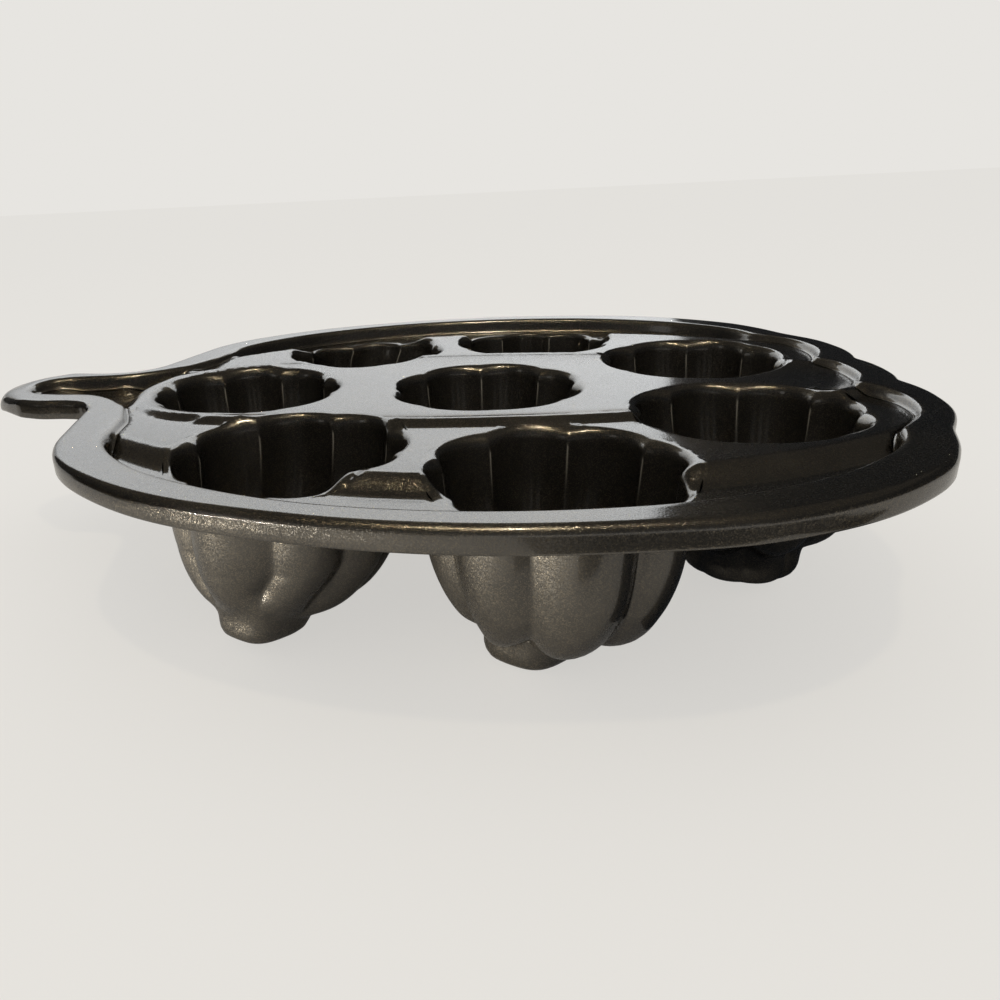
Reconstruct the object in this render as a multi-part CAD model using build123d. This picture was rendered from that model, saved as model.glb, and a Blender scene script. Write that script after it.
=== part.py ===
from build123d import *
from math import cos, pi, radians, sin, sqrt
import os

# A one-piece cast cakelet pan shaped like a pumpkin, in millimetres.
# +X points away from the handle and +Z is up. The origin is on the resting plane, under the middle of the whole.
# The sections are drawn about the center cup's mouth, and moved there when they are saved.
# The casting is kept as named sections that meet face to face: flange, recess wall, five ribs of deck,
# eight cups, four stem ends, four feet, the handle and the cove between handle and deck.

# Cups
cup_radius = 36.0
cup_wall = 3.0
cup_web = 4.4
outer_cups = 7
lobes = 8
crease_share = 0.925
mouth_draft = 0.6
bowl_depth = 45.0
stem_depth = 59.0
foot_depth = 54.0
split_depth = 39.0

# Stem ends and feet under the cups
stem_root_radius = 14.5
stem_end_radius = 10.5
stem_root_depth = 34.0
foot_radius = 19.0
foot_taper = 2.0

# Deck, flange and handle
plate = 3.2
rim_top = 4.9
rim_edge_height = 7.2
skirt_width = 3.6
flange_width = 12.0
rim_gap = 0.3
center_rib_half = 52.2
center_rib_length = 151.6
center_rib_shift = -10.8
side_rib_half = 104.4
side_rib_length = 154.8
side_rib_shift = 3.6
center_crest = 3.6
side_crest = 2.7
side_floor = 0.5
outer_floor = -3.0
side_plate_bottom = -4.5
deck_end_gap = 6.4

# Handle
handle_length = 62.0
handle_half = 24.8
handle_flare = 3.7
handle_recess_half = 14.5
cove_floor = -1.0
handle_end_wall = 21.0
handle_tip_round = 9.0
handle_corner_round = 4.0

# Ring cups from the handle side round the front, each with the turn of its creases in degrees
ring_cups = (
    ("stem_side", 37.0),
    ("front_left", 25.0),
    ("front", 35.0),
    ("right_front", 34.0),
    ("right_back", 36.0),
    ("back", 28.0),
    ("back_left", 22.0),
)
center_turn = 5.0

# Cups that make the stem half of a cake, each with the way its stem leans, as a shift of the stem's end
stem_cups = {
    "front_left": (-7.0, -11.0),
    "front": (-7.0, -1.0),
    "back": (-7.0, 1.0),
    "back_left": (-7.0, 11.0),
}

# Sizes that follow from those above
ring_radius = (cup_radius + cup_wall + cup_web / 2) / sin(pi / outer_cups)
recess_radius = ring_radius + cup_radius + cup_wall + rim_gap
body_left = -recess_radius - flange_width
high = 60.0
crumb = 1.0


def plan(x, y):
    """A plan point, given as shares of the recess radius."""
    return (x * recess_radius, y * recess_radius)


def arcs_through(points):
    """Arcs that follow each other, each through three neighbouring points."""
    return [ThreePointArc(*points[i:i + 3]) for i in range(0, len(points) - 2, 2)]


def recess_outline():
    """Inside edge of the flange: five rounded rib ends with cusps between them."""
    back = [
        plan(1.0, 0.0), plan(0.990, 0.085), plan(0.957, 0.153),
        plan(0.995, 0.327), plan(0.887, 0.558),
        plan(0.590, 0.865), plan(0.054, 1.0),
        plan(-0.442, 0.920), plan(-0.839, 0.657),
        plan(-0.893, 0.560), plan(-0.918, 0.450),
        plan(-0.935, 0.360), plan(-0.970, 0.274),
    ]
    front = [(x, -y) for x, y in reversed(back)]
    return make_face(arcs_through(back) + [Line(back[-1], front[0])] + arcs_through(front))


def handle_outline():
    """Outside of the pumpkin stem that forms the handle, with its slanted end."""
    root = body_left
    tip = root - handle_length
    neck = handle_half
    wide = handle_half + handle_flare
    edges = [
        Line((root + 30, neck + 24), (root + 5, neck + 19)),
        ThreePointArc((root + 5, neck + 19), (root - 3, neck + 5), (root - 16, neck)),
        ThreePointArc((root - 16, neck), (root - 26, neck + 0.3), (root - 35, wide)),
        Line((root - 35, wide), (tip, neck * 0.36)),
        Line((tip, neck * 0.36), (root - 28, -wide + 2.5)),
        ThreePointArc((root - 28, -wide + 2.5), (root - 22, -neck), (root - 14, -neck)),
        ThreePointArc((root - 14, -neck), (root - 2, -neck - 4), (root + 5, -neck - 19)),
        Line((root + 5, -neck - 19), (root + 30, -neck - 24)),
        Line((root + 30, -neck - 24), (root + 30, neck + 24)),
    ]
    face = make_face(edges)
    tip_corner = face.vertices().sort_by(Axis.X)[0]
    face = fillet(tip_corner, radius=handle_tip_round)
    end_corners = [v for v in face.vertices() if abs(v.Y) > neck and v.X < root - 25]
    return fillet(end_corners, radius=handle_corner_round)


def handle_recess_outline():
    """The cove sunk into the stem, open towards the deck."""
    root = body_left
    half = handle_recess_half
    end = root - handle_length + handle_end_wall
    flare_x = root + 16
    flare_y = half * 2.5
    edges = [
        Line((end + 12, half), (root - 10, half)),
        ThreePointArc((root - 10, half), (root + 4, half + 6), (flare_x, flare_y)),
        Line((flare_x, flare_y), (flare_x + 20, flare_y)),
        Line((flare_x + 20, flare_y), (flare_x + 20, -flare_y)),
        Line((flare_x + 20, -flare_y), (flare_x, -flare_y)),
        ThreePointArc((flare_x, -flare_y), (root + 4, -half - 6), (root - 10, -half)),
        Line((root - 10, -half), (end + 16, -half)),
        ThreePointArc((end + 16, -half), (end, -half * 0.2), (end + 12, half)),
    ]
    return make_face(edges)


def cup_place(number):
    """Plan position of a ring cup, counted from the handle side round the front."""
    angle = pi + 2 * pi * number / outer_cups
    return (ring_radius * cos(angle), ring_radius * sin(angle))


def fluted_section(radius, turn, z, center):
    """One level of a cup: a ring of equal arcs that meet at creases."""
    crease = radius * crease_share
    step = 360 / lobes
    edges = []
    for i in range(lobes):
        a = radians(turn + i * step)
        b = radians(turn + (i + 0.5) * step)
        c = radians(turn + (i + 1) * step)
        start = (crease * cos(a), crease * sin(a))
        crown = (radius * cos(b), radius * sin(b))
        stop = (crease * cos(c), crease * sin(c))
        edges.append(ThreePointArc(start, crown, stop))
    return Pos(center[0], center[1], z) * make_face(edges)


def bowl(extra, turn, center):
    """The inside of a cup, or with extra its outside: sections from above the deck to the bottom."""
    mouth = cup_radius + extra
    down = bowl_depth + extra
    levels = [
        (high * 0.2, mouth),
        (-0.08 * down, mouth - mouth_draft),
        (-0.38 * down, mouth * 0.972),
        (-0.64 * down, mouth * 0.920),
        (-0.82 * down, mouth * 0.820),
        (-0.94 * down, mouth * 0.680),
        (-down, mouth * 0.480),
    ]
    faces = [fluted_section(r, turn, z, center) for z, r in levels]
    return loft(faces)


def stem_end(extra, center, lean):
    """The stub of stem under a cup: a leaning, tapered round peg."""
    root_radius = stem_root_radius - cup_wall + extra
    end_radius = stem_end_radius - cup_wall + extra
    end_z = -stem_depth + cup_wall - extra
    root = Pos(center[0] + lean[0] / 2, center[1] + lean[1] / 2, -stem_root_depth) * Circle(root_radius)
    end = Pos(center[0] + lean[0], center[1] + lean[1], end_z) * Circle(end_radius)
    return loft([root.face(), end.face()])


def foot_disc(extra, turn, center):
    """The flat lobed foot under a cup that makes the lower half of a cake."""
    end_radius = foot_radius - cup_wall + extra
    end_z = -foot_depth + cup_wall - extra
    top = fluted_section(end_radius + foot_taper, turn, -stem_root_depth, center)
    end = fluted_section(end_radius, turn, end_z, center)
    return loft([top, end])


def slab(face, low, top):
    """A plan face raised into a block between two heights."""
    return Pos(0, 0, low) * extrude(face, amount=top - low)


def rib_block(profile, face, low):
    """A rib's block: its plan outline under a top that keeps one profile along X."""
    span = recess_radius + 80
    bar = extrude(Plane.YZ * profile, amount=span, both=True)
    return bar & slab(face, low - 1, high)


def dish_profile(y0, z0, y1, z1, y2, z2, low):
    """Cross-section of a rib with a shallow arc for its top."""
    return make_face([
        ThreePointArc((y0, z0), (y1, z1), (y2, z2)),
        Line((y2, z2), (y2, low)),
        Line((y2, low), (y0, low)),
        Line((y0, low), (y0, z0)),
    ])


def write(name, shape):
    """Save one section, raised so that the stems stand on the resting plane, without crumbs of a cut."""
    solids = [s for s in shape.solids() if s.volume > crumb]
    whole = solids[0] if len(solids) == 1 else Compound(children=list(solids))
    export_step(Pos(-middle.X, -middle.Y, stem_depth) * whole, "parts/" + name + ".step")
    print(name, len(solids), round(sum(s.volume for s in solids)))


os.makedirs("parts", exist_ok=True)

# Plan regions
body_recess = recess_outline()
cove = handle_recess_outline()
recess = body_recess + cove
body = offset(body_recess, amount=flange_width)
outline = body + handle_outline()
middle = outline.bounding_box().center()
print("middle of the plan", round(middle.X, 3), round(middle.Y, 3))
cut_x = body_left + 2
everything = Rectangle(900, 900)
right_side = Pos(450 + cut_x, 0) * everything
left_side = Pos(-450 + cut_x, 0) * everything
center_cup = (0.0, 0.0)
end_cup = cup_place(0)
end_disc = Pos(*end_cup) * Circle(cup_radius + deck_end_gap)
past_end = Pos(450 + end_cup[0], 0) * everything
center_oval = Pos(center_rib_shift, 0) * Ellipse(center_rib_length, center_rib_half)
side_oval = Pos(side_rib_shift, 0) * Ellipse(side_rib_length, side_rib_half)
center_rib = (center_oval & body_recess & past_end) + (end_disc & body_recess)
cove_plan = (cove & right_side) - center_rib
ring_ribs = body_recess - center_rib - cove
side_ribs = ring_ribs & side_oval
outer_ribs = ring_ribs - side_oval
back_half = Pos(0, 450) * everything
front_half = Pos(0, -450) * everything

# Deck blocks before the cups are cut
center_top = dish_profile(-70, center_crest * 1.8, 0, 0, 70, center_crest * 1.8, -plate)
back_top = dish_profile(20, side_floor, 75, side_floor + 0.5, 112, side_crest + 0.9, side_plate_bottom)
front_top = dish_profile(-112, side_crest + 0.9, -75, side_floor + 0.5, -20, side_floor, side_plate_bottom)
deck = {
    "deck_rib_center": rib_block(center_top, center_rib, -plate),
    "deck_rib_back": rib_block(back_top, side_ribs & back_half, side_plate_bottom),
    "deck_rib_front": rib_block(front_top, side_ribs & front_half, side_plate_bottom),
    "deck_rib_back_outer": slab(outer_ribs & back_half, outer_floor - plate, outer_floor),
    "deck_rib_front_outer": slab(outer_ribs & front_half, outer_floor - plate, outer_floor),
}

# Open space over the deck, which trims each cup's lip to the ribs it stands in
air = [
    rib_block(dish_profile(-70, center_crest * 1.8, 0, 0, 70, center_crest * 1.8, high), center_rib, -plate),
    rib_block(dish_profile(20, side_floor, 75, side_floor + 0.5, 112, side_crest + 0.9, high),
              side_ribs & back_half, -plate),
    rib_block(dish_profile(-112, side_crest + 0.9, -75, side_floor + 0.5, -20, side_floor, high),
              side_ribs & front_half, -plate),
    slab(outer_ribs, outer_floor, high),
    slab(cove_plan, cove_floor, high),
]

# Cups, with the stem ends and feet under them
cups = [("center", center_cup, center_turn)]
for number, (name, turn) in enumerate(ring_cups):
    cups.append((name, cup_place(number), turn))
above_split = slab(everything, -split_depth, high)
below_split = slab(everything, -stem_depth - 1, -split_depth)
cove_block = slab(cove_plan, cove_floor - plate, cove_floor)
for name, center, turn in cups:
    if name in stem_cups:
        outside = bowl(cup_wall, turn, center) + stem_end(cup_wall, center, stem_cups[name])
        inside = bowl(0, turn, center) + stem_end(0, center, stem_cups[name])
        lower = "stem_end_"
    else:
        outside = bowl(cup_wall, turn, center) + foot_disc(cup_wall, turn, center)
        inside = bowl(0, turn, center) + foot_disc(0, turn, center)
        lower = "foot_"
    shell = outside - inside
    for space in air:
        shell = shell - space
    for rib in deck:
        deck[rib] = deck[rib] - outside
    cove_block = cove_block - outside
    write("cup_" + name, shell & above_split)
    write(lower + name, shell & below_split)
write("handle_cove", cove_block)

# Deck ribs; each side rib has a tab past the cup that cuts it
tab_x = cup_place(1)[0]
tab_side = Pos(tab_x - 450, 0) * everything
rib_side = Pos(tab_x + 450, 0) * everything
for name, shape in deck.items():
    if name in ("deck_rib_back", "deck_rib_front"):
        write(name.replace("rib", "tab"), shape & slab(tab_side, -high, high))
        shape = shape & slab(rib_side, -high, high)
    write(name, shape)

# Flange with its turned-down edge
edge_band = outline - offset(outline, amount=-skirt_width)
flange_plan = outline - recess
rim = slab(flange_plan, rim_top - plate, rim_top) + slab(edge_band, rim_top - rim_edge_height, rim_top)
write("rim_flange", rim & slab(right_side, -high, high))

# Wall between the flange and the deck
wall_plan = offset(recess, amount=plate) - recess
wall = slab(wall_plan, outer_floor - plate, rim_top - plate)
write("recess_wall", wall & slab(right_side, -high, high))

# Handle: rails, side walls and floor of the cove
handle = rim + slab(wall_plan, cove_floor - plate, rim_top - plate) + slab(recess, cove_floor - plate, cove_floor)
write("handle", handle & slab(left_side, -high, high))
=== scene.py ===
import math

import bpy
import numpy as np
from mathutils import Matrix, Vector
from mathutils.geometry import delaunay_2d_cdt

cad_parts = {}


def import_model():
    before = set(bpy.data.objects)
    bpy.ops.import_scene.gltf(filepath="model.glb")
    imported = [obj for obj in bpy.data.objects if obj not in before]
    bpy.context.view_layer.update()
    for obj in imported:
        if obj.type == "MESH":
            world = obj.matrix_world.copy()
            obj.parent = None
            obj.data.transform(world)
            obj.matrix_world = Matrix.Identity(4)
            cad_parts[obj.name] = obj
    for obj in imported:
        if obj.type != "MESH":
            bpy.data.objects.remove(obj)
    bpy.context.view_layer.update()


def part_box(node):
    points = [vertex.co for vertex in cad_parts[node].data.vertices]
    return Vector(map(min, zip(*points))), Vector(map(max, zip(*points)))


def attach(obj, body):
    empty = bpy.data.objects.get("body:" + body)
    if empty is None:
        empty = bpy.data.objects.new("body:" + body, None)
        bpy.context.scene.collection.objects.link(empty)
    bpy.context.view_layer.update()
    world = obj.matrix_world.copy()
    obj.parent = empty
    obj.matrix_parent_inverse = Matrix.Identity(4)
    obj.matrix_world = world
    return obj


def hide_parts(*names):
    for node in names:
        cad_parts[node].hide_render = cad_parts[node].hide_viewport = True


# A one-piece cast pan for eight small fluted cakes. Lengths are in millimetres about the center cup's mouth,
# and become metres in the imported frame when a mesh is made. The studio is in metres.
mm_per_metre = 1000.0

# Cups. The bowl is the part of the profile beyond bowl_from cup radii, the wall is cut from the bottom at
# split_depth, and the lip meets the deck at one circle on top and another underneath.
cup_radius = 36.0
cup_wall = 3.0
ring_radius = 95.32
outer_cups = 7
steps_per_lobe = 18
profile_steps = 46
bowl_from = 0.5
offset_passes = 3
bottom_rows = 12
split_depth = 39.0
lip_circle = 38.6
under_circle = 40.6

# Creases between the lobes: the share of the radius that a sharp one would leave at the mouth, its rounding,
# the power that shapes the lobes, how the samples crowd towards it, and how much deeper it is on the outside
crease_share = 0.893
crease_round = 0.09
crease_power = 0.9
crease_crowding = 0.085
outer_crease_gain = 1.2

# Where the creases grow from nothing, as (start, width) in shares of the cup's radius. Over a foot they grow
# in two steps, and the low one has this share of them.
stem_fade = (0.40, 0.18)
far_lean_fade = (0.46, 0.34)
foot_fade_low = (0.16, 0.22)
foot_fade_high = (0.5, 0.2)
foot_low_share = 0.12

# How much the creases deepen, as a share, and rise towards a bottom, and the same where the stem leans far
deepening = 0.75
far_lean_deepening = 0.1
deepening_width = 0.45
crease_lift = 2.6
far_lean_lift = 0.9
lift_from = 0.98
lift_width = 0.4

# Painted highlight on the inner ridges: how deep in a crease a ridge begins (0 to 1), the height that the
# painted highlight starts at, and its rise
ridge_groove = 0.87
painted_highlight_from = -31.0
painted_highlight_rise = 26.0

# Cup lip from the wall's top to the deck, as shares of the way out and of the way up
lip_shape = (
    (0.02, 0.30), (0.06, 0.50), (0.15, 0.68), (0.30, 0.83), (0.50, 0.93), (0.74, 0.985), (1.0, 1.0),
)

# Ring cups from the handle side round the front: name, and the directions of the creases in degrees
ring_cups = (
    ("stem_side", (37, 82, 127, 172, 217, 262, 307, 352)),
    ("front_left", (-140, -85, -48, -10, 32, 78, 124, 170)),
    ("front", (-147, -103, -56, -10, 35, 80, 125, 170)),
    ("right_front", (34, 79, 124, 169, 214, 259, 304, 349)),
    ("right_back", (36, 81, 126, 171, 216, 261, 306, 351)),
    ("back", (28, 73, 118, 163, 208, 253, 298, 343)),
    ("back_left", (22, 67, 112, 157, 202, 247, 292, 337)),
)
center_creases = (5, 50, 95, 140, 185, 230, 275, 320)

# Cups with a stem stub under them, and how far the stub's end leans
stem_lean = {
    "front_left": (-3.5, -15.0),
    "front": (-7.0, -1.0),
    "back": (-7.0, 1.0),
    "back_left": (-3.5, 15.0),
}
far_lean = 12.0
short_stem = 4.6

# Stem stubs: the root's radius in cup radii, its share of the lean, the depths in cup radii over which the
# stub takes the rest of the lean and stops following the bowl, its ripple, and where along the profile the
# smoothing of its root into the bowl comes in, as (start, width), and goes out, as (end, width)
stem_root = 0.46
stem_root_share = 0.86
lean_from = 1.25
lean_width = 0.33
follow_to = 1.47
follow_width = 0.18
stem_ripple = 0.03
stem_ripples = 5
ripple_turn = 1.0
ripple_width = 0.2
root_passes = 7
root_rows_low = (0.15, 0.1)
root_rows_high = (0.66, 0.2)

# How far along x a cup moves towards its bottom. The move starts at a depth and is whole a width further,
# both in cup radii, and grows on to at most most_spread times that.
bottom_spread = {
    "front_left": -5.0,
    "back_left": -5.0,
    "front": 0.5,
    "back": 0.5,
    "right_front": 2.6,
    "right_back": 2.6,
}
spread_from = 0.15
spread_width = 1.15
most_spread = 1.25

# Outside of a cup from the bottom up, as (radius, height) in cup radii: with a stem stub, and with a foot
wall_profile = (
    (0.575, -1.330), (0.68, -1.300), (0.80, -1.200), (0.905, -1.020), (0.975, -0.840),
    (1.025, -0.640), (1.055, -0.420), (1.075, -0.220), (1.083, -0.130),
)
stem_profile = (
    (0.0, -1.632), (0.18, -1.634), (0.30, -1.620), (0.37, -1.575), (0.402, -1.500),
    (0.414, -1.410), (0.428, -1.335), (0.462, -1.290), (0.515, -1.300),
)
foot_profile = (
    (0.0, -1.430), (0.18, -1.445), (0.29, -1.490), (0.37, -1.528), (0.44, -1.523),
    (0.505, -1.475), (0.54, -1.400), (0.556, -1.290), (0.578, -1.205),
)
foot_wall = (
    (0.63, -1.162), (0.72, -1.105), (0.82, -1.010), (0.90, -0.880), (0.965, -0.740),
    (1.02, -0.560), (1.055, -0.380), (1.075, -0.220), (1.083, -0.130),
)

# Ribs of the deck, as ovals (middle, half length, half width), with their raised edges and dished faces
plate = 3.2
center_oval = (-10.8, 151.6, 52.2)
side_oval = (3.6, 154.8, 104.4)
end_disc_radius = 41.6
end_disc_blend = 7.0
center_crest = 3.5
center_dish = 42.0
center_dish_power = 3
center_crest_round = 2.4
side_crest = 2.7
side_floor = 1.3
side_dish = 30.0
side_dish_power = 2.5
side_crest_round = 2.6
crest_overshoot = 1.0
crest_face_slope = 0.85
outer_floor = -1.7
outer_round = 2.6
rib_foot_round = 1.9

# Net of the deck: its step, how many steps its free points keep from a rib's edge and from fixed points, how
# far they keep from a cup's lip, and how far the underside's sideways move reaches
grid_step = 1.35
crest_net_lines = (0.0, 1.3, 2.6, 3.9)
crest_clearance = 0.75
fixed_clearance = 0.55
lip_clearance = 0.3
hole_margin = 0.15
net_tolerance = 1e-5
shift_reach = 3.0
points_at_once = 2000

# Cove of the handle, behind a low ridge across its mouth
cove_floor = -2.8
cove_ridge = 1.6
ridge_place = -135.5
ridge_bend = 0.10
ridge_width = 2.6
cove_entry = 1.5
cove_entry_width = 7.0
cove_hollow = 0.010
hollow_from = -146.0
hollow_width = 10.0
ramp_from = -168.0
ramp_slant = 0.36
ramp_slope = 0.22
ramp_length = 30.0

# Where the sections of the casting end
handle_cut = -144.0
tab_cut = -59.4
cove_past_ring = 29.0
cove_half = 40.0

# Recess wall, as distances out from the wall's line. Its rise is a share of its height. Its brow is a depth
# under the flange, at most that share of the height. On the underside the brow is a depth under the flange's
# plate, and the wall a share of the height and a length above the deck's underside.
wall_foot = 2.0
wall_rise = ((-wall_foot, 0.0), (-1.7, 0.03), (-1.25, 0.13), (-0.9, 0.30), (-0.55, 0.58))
wall_brow = ((-0.2, 1.35, 0.26), (0.25, 0.68, 0.13), (0.95, 0.19, 0.04))
brow_end = 1.9
under_brow_end = 3.9
under_brow = ((3.1, 0.35), (2.75, 1.1))
under_wall = ((2.3, 0.45, 0.0), (1.9, 0.0, 0.6), (1.2, 0.0, 0.0))

# Flange and its turned-down edge: distances out from the edge's line, with the heights over the edge's bottom
# and, past the skirt, the depths under the flange's plate
rim_top = 4.9
edge_height = 7.2
edge_round = 2.6
edge_round_steps = 7
edge_margin = 0.4
flange_steps = (0.2, 0.4, 0.6, 0.8, 1.0)
under_flange_steps = (0.35, 0.7, 1.0)
skirt_width = 3.6
edge_foot = (
    (0.0, 0.9), (-0.28, 0.25), (-0.95, 0.0), (0.9 - skirt_width, 0.0), (0.2 - skirt_width, 0.3),
    (-skirt_width, 0.9),
)
skirt_root = ((-skirt_width, 1.2), (-skirt_width - 0.4, 0.3), (-skirt_width - 1.2, 0.0))

# The handle's tip, with a larger round and a droop
tip_start = -178.0
tip_round = 7.0
tip_drop = 5.6
tip_dip = 2.4
tip_dip_start = -187.0
tip_length = 16.0

# Half of the plan from the blossom end round the back, as points (inner x, inner y, outer x, outer y) in
# cup radii. Each group ends at a notch between two ribs.
rib_end_center = (
    (3.73, 0.0, 4.062, 0.0), (3.70, 0.28, 4.045, 0.26), (3.57, 0.57, 3.99, 0.505),
)
rib_end_side = (
    (3.57, 0.57, 3.99, 0.505), (3.71, 0.88, 4.045, 0.80), (3.75, 1.22, 4.045, 1.12),
    (3.64, 1.66, 3.96, 1.57), (3.32, 2.06, 3.72, 2.05),
)
back_side = (
    (3.32, 2.06, 3.72, 2.05), (3.13, 2.47, 3.52, 2.54), (2.72, 2.90, 3.22, 2.99), (2.24, 3.23, 2.60, 3.50),
    (1.55, 3.54, 1.80, 3.86), (0.85, 3.69, 0.95, 4.00), (0.10, 3.74, 0.10, 4.045),
    (-0.62, 3.69, -0.70, 3.975), (-1.32, 3.54, -1.45, 3.81), (-2.00, 3.27, -2.20, 3.56),
    (-2.60, 2.92, -2.82, 3.21), (-3.03, 2.52, -3.40, 2.72), (-3.31, 2.12, -3.72, 2.24),
    (-3.42, 1.70, -3.87, 1.72), (-3.50, 1.34, -3.98, 1.26),
)
stem_back = (
    (-3.50, 1.34, -3.98, 1.26), (-3.68, 0.96, -4.08, 0.92), (-3.98, 0.66, -4.28, 0.72),
    (-4.34, 0.48, -4.58, 0.655), (-4.68, 0.44, -4.84, 0.68), (-4.93, 0.42, -5.08, 0.715),
)
stem_end = (
    (-4.93, 0.42, -5.08, 0.715), (-5.13, 0.33, -5.40, 0.56), (-5.22, 0.14, -5.63, 0.28),
    (-5.19, -0.08, -5.61, -0.06), (-5.06, -0.25, -5.36, -0.36), (-4.88, -0.34, -5.02, -0.64),
)
stem_front = (
    (-4.88, -0.34, -5.02, -0.64), (-4.62, -0.385, -4.74, -0.73), (-4.28, -0.42, -4.46, -0.735),
    (-3.98, -0.60, -4.22, -0.80), (-3.70, -0.92, -4.06, -0.98), (-3.50, -1.34, -3.98, -1.26),
)
corner_passes = 2
curve_samples = 24
center_stations = 16
side_stations = 52
back_stations = 210
stem_stations = 50
stem_end_stations = 44

# Coat: colors, scales of its patterns, and ranges of what they drive
coat_dark = (0.056, 0.052, 0.046, 1)
coat_light = (0.092, 0.085, 0.074, 1)
flake_light = (0.28, 0.235, 0.17, 1)
# The color of the painted highlight along the cups' sharp inner ridges
painted_shine_color = (0.42, 0.38, 0.31, 1)
grey_edge_tint = (0.25, 0.235, 0.21, 1)
mottle_scale = 34.0
mottle_range = (0.3, 0.7)
flake_scale = 3800.0
flake_range = (0.55, 1.0)
most_flake = 0.42
flake_tilt = 0.26
haze_scale = 18.0
haze_range = (0.3, 0.7)
roughness_range = (0.27, 0.37)
gloss_roughness = 0.11
grain_scale = 1300.0
grain_strength = 0.06
grain_depth = 0.0002
# The power that sharpens the painted highlight on the inner ridges, and the metallic of the plain coat and of
# that painted highlight
painted_highlight_power = 2.5
metallic_plain = 0.92
metallic_painted_shine = 0.35

# Camera, found from the photograph
camera_yaw = 7.033
camera_pitch = 21.99
camera_roll = -2.878
camera_place = (7.1, -302.9, 74.4)
focal_share = 0.788387
sensor_width = 36.0
middle_point = (415.126, 504.8)
frame_size = 1000.0
near_clip = 0.01

# Studio, in metres
backdrop = (0.799, 0.783, 0.752, 1)
soft_white = (1.0, 0.99, 0.97, 1)
world_light = 0.86
floor_glow = 0.72
floor_dim = 0.25
floor_width = 24.0
floor_gap = 0.0005
middle_of_pan = (0.0, 0.0, 0.05)
dark = (0.018, 0.020, 0.023)
dim = (0.070, 0.064, 0.055)
sky = (0.965, 0.99, 1.0)
sun = (1.0, 0.82, 0.52)
black = (0.0, 0.0, 0.0)
no_change = (0.0, 0.0)

# Cards: name, place, the point that it faces, size, color, and where they aren't 1 and even, the strength and
# its change per metre across and up the card
cards = (
    ("sky_card", (-1.03, 2.2, 0.86), (-1.03, 0.0, 0.86), (3.16, 1.32), sky, 1.82, (-0.33, 1.75)),
    ("dark_flag_back", (2.55, 2.2, 0.86), (2.55, 0.0, 0.86), (4.0, 1.74), dark),
    ("dark_flag_right", (2.9, -0.2, 0.86), (0.0, -0.2, 0.86), (4.8, 1.74), dark),
    ("dark_flag_left", (-2.8, 0.3, 0.90), (0.0, 0.3, 0.90), (3.8, 1.66), dark),
    ("dim_flag_top", (0.0, 0.0, 1.62), (0.0, 0.0, 0.0), (6.0, 5.4), dim),
    ("dark_flag_front", (0.0, -2.6, 0.98), (0.0, 0.0, 0.98), (6.0, 1.3), dark, 3.0),
    # Painted shade: dark cards on the floor beside and under the pan stand in for its shade there, seen only
    # in reflections
    ("dark_floor", (0.175, -0.38, 0.0002), (0.175, -0.38, 1.0), (0.25, 0.40), dark),
    ("dark_floor_right", (0.235, -0.155, 0.0002), (0.235, -0.155, 1.0), (0.10, 0.06), dark),
    ("dark_floor_foot", (0.13, -0.055, 0.0002), (0.13, -0.055, 1.0), (0.09, 0.13), dark),
    ("sun_strip", (-0.05, -0.56, 1.40), middle_of_pan, (0.6, 0.09), sun, 18.0),
)

# Lamps: name, place, the point that it faces, size, power and color
key_lamp = ("key", (0.07, -0.52, 1.34), middle_of_pan, (0.06, 0.06), 3.0, (1.0, 0.88, 0.66))
low_lamp = ("low_left", (-0.95, -0.80, 0.02), (0.0, -0.08, 0.02), (0.50, 0.035), 58.0, (1.0, 0.95, 0.85))

# Black cards that shade the metal from the low lamp: name, place, the point that it faces, and size
flags = (
    ("band_flag", (-0.26, -0.30, 0.0876), (0.0, -0.08, 0.0876), (0.70, 0.08)),
    ("handle_flag", (-0.229, -0.098, 0.06), (-0.95, -0.80, 0.06), (0.14, 0.07)),
)


# Plan curves

def spline_through(points, steps):
    """A smooth open curve through the points, sampled evenly along its length; ends are included."""
    pts = np.array(points, dtype=float)
    first = 2 * pts[0] - pts[1]
    last = 2 * pts[-1] - pts[-2]
    ext = np.vstack([first, pts, last])
    out = []
    for i in range(1, len(ext) - 2):
        t = np.linspace(0, 1, curve_samples, endpoint=False)[:, None]
        p0, p1, p2, p3 = ext[i - 1], ext[i], ext[i + 1], ext[i + 2]
        out.append(0.5 * (2 * p1 + (p2 - p0) * t + (2 * p0 - 5 * p1 + 4 * p2 - p3) * t ** 2
                          + (3 * p1 - p0 - 3 * p2 + p3) * t ** 3))
    out.append(pts[-1:])
    fine = np.vstack(out)
    gaps = np.linalg.norm(np.diff(fine, axis=0), axis=1)
    along = np.concatenate([[0], np.cumsum(gaps)])
    where = np.linspace(0, along[-1], steps + 1)
    return np.stack([np.interp(where, along, fine[:, k]) for k in range(fine.shape[1])], axis=1)


def mirrored(rows):
    """The same points on the front side, in reverse order."""
    return tuple((a, -b, c, -d) for a, b, c, d in reversed(rows))


def plan_curves():
    """Inner and outer outlines of the flange as matching closed loops, in millimetres."""
    sections = (
        (rib_end_center, center_stations), (rib_end_side, side_stations), (back_side, back_stations),
        (stem_back, stem_stations), (stem_end, stem_end_stations), (stem_front, stem_stations),
        (mirrored(back_side), back_stations), (mirrored(rib_end_side), side_stations),
        (mirrored(rib_end_center), center_stations),
    )
    inner = []
    outer = []
    for rows, steps in sections:
        rows = np.array(rows) * cup_radius
        inner.append(spline_through(rows[:, :2], steps)[:-1])
        outer.append(spline_through(rows[:, 2:], steps)[:-1])
    return smooth_loop(np.vstack(inner)), smooth_loop(np.vstack(outer))


def smooth_loop(loop):
    """The loop with its corners rounded by averaging neighbours."""
    for _ in range(corner_passes):
        loop = 0.25 * np.roll(loop, 1, axis=0) + 0.5 * loop + 0.25 * np.roll(loop, -1, axis=0)
    return loop


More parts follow.
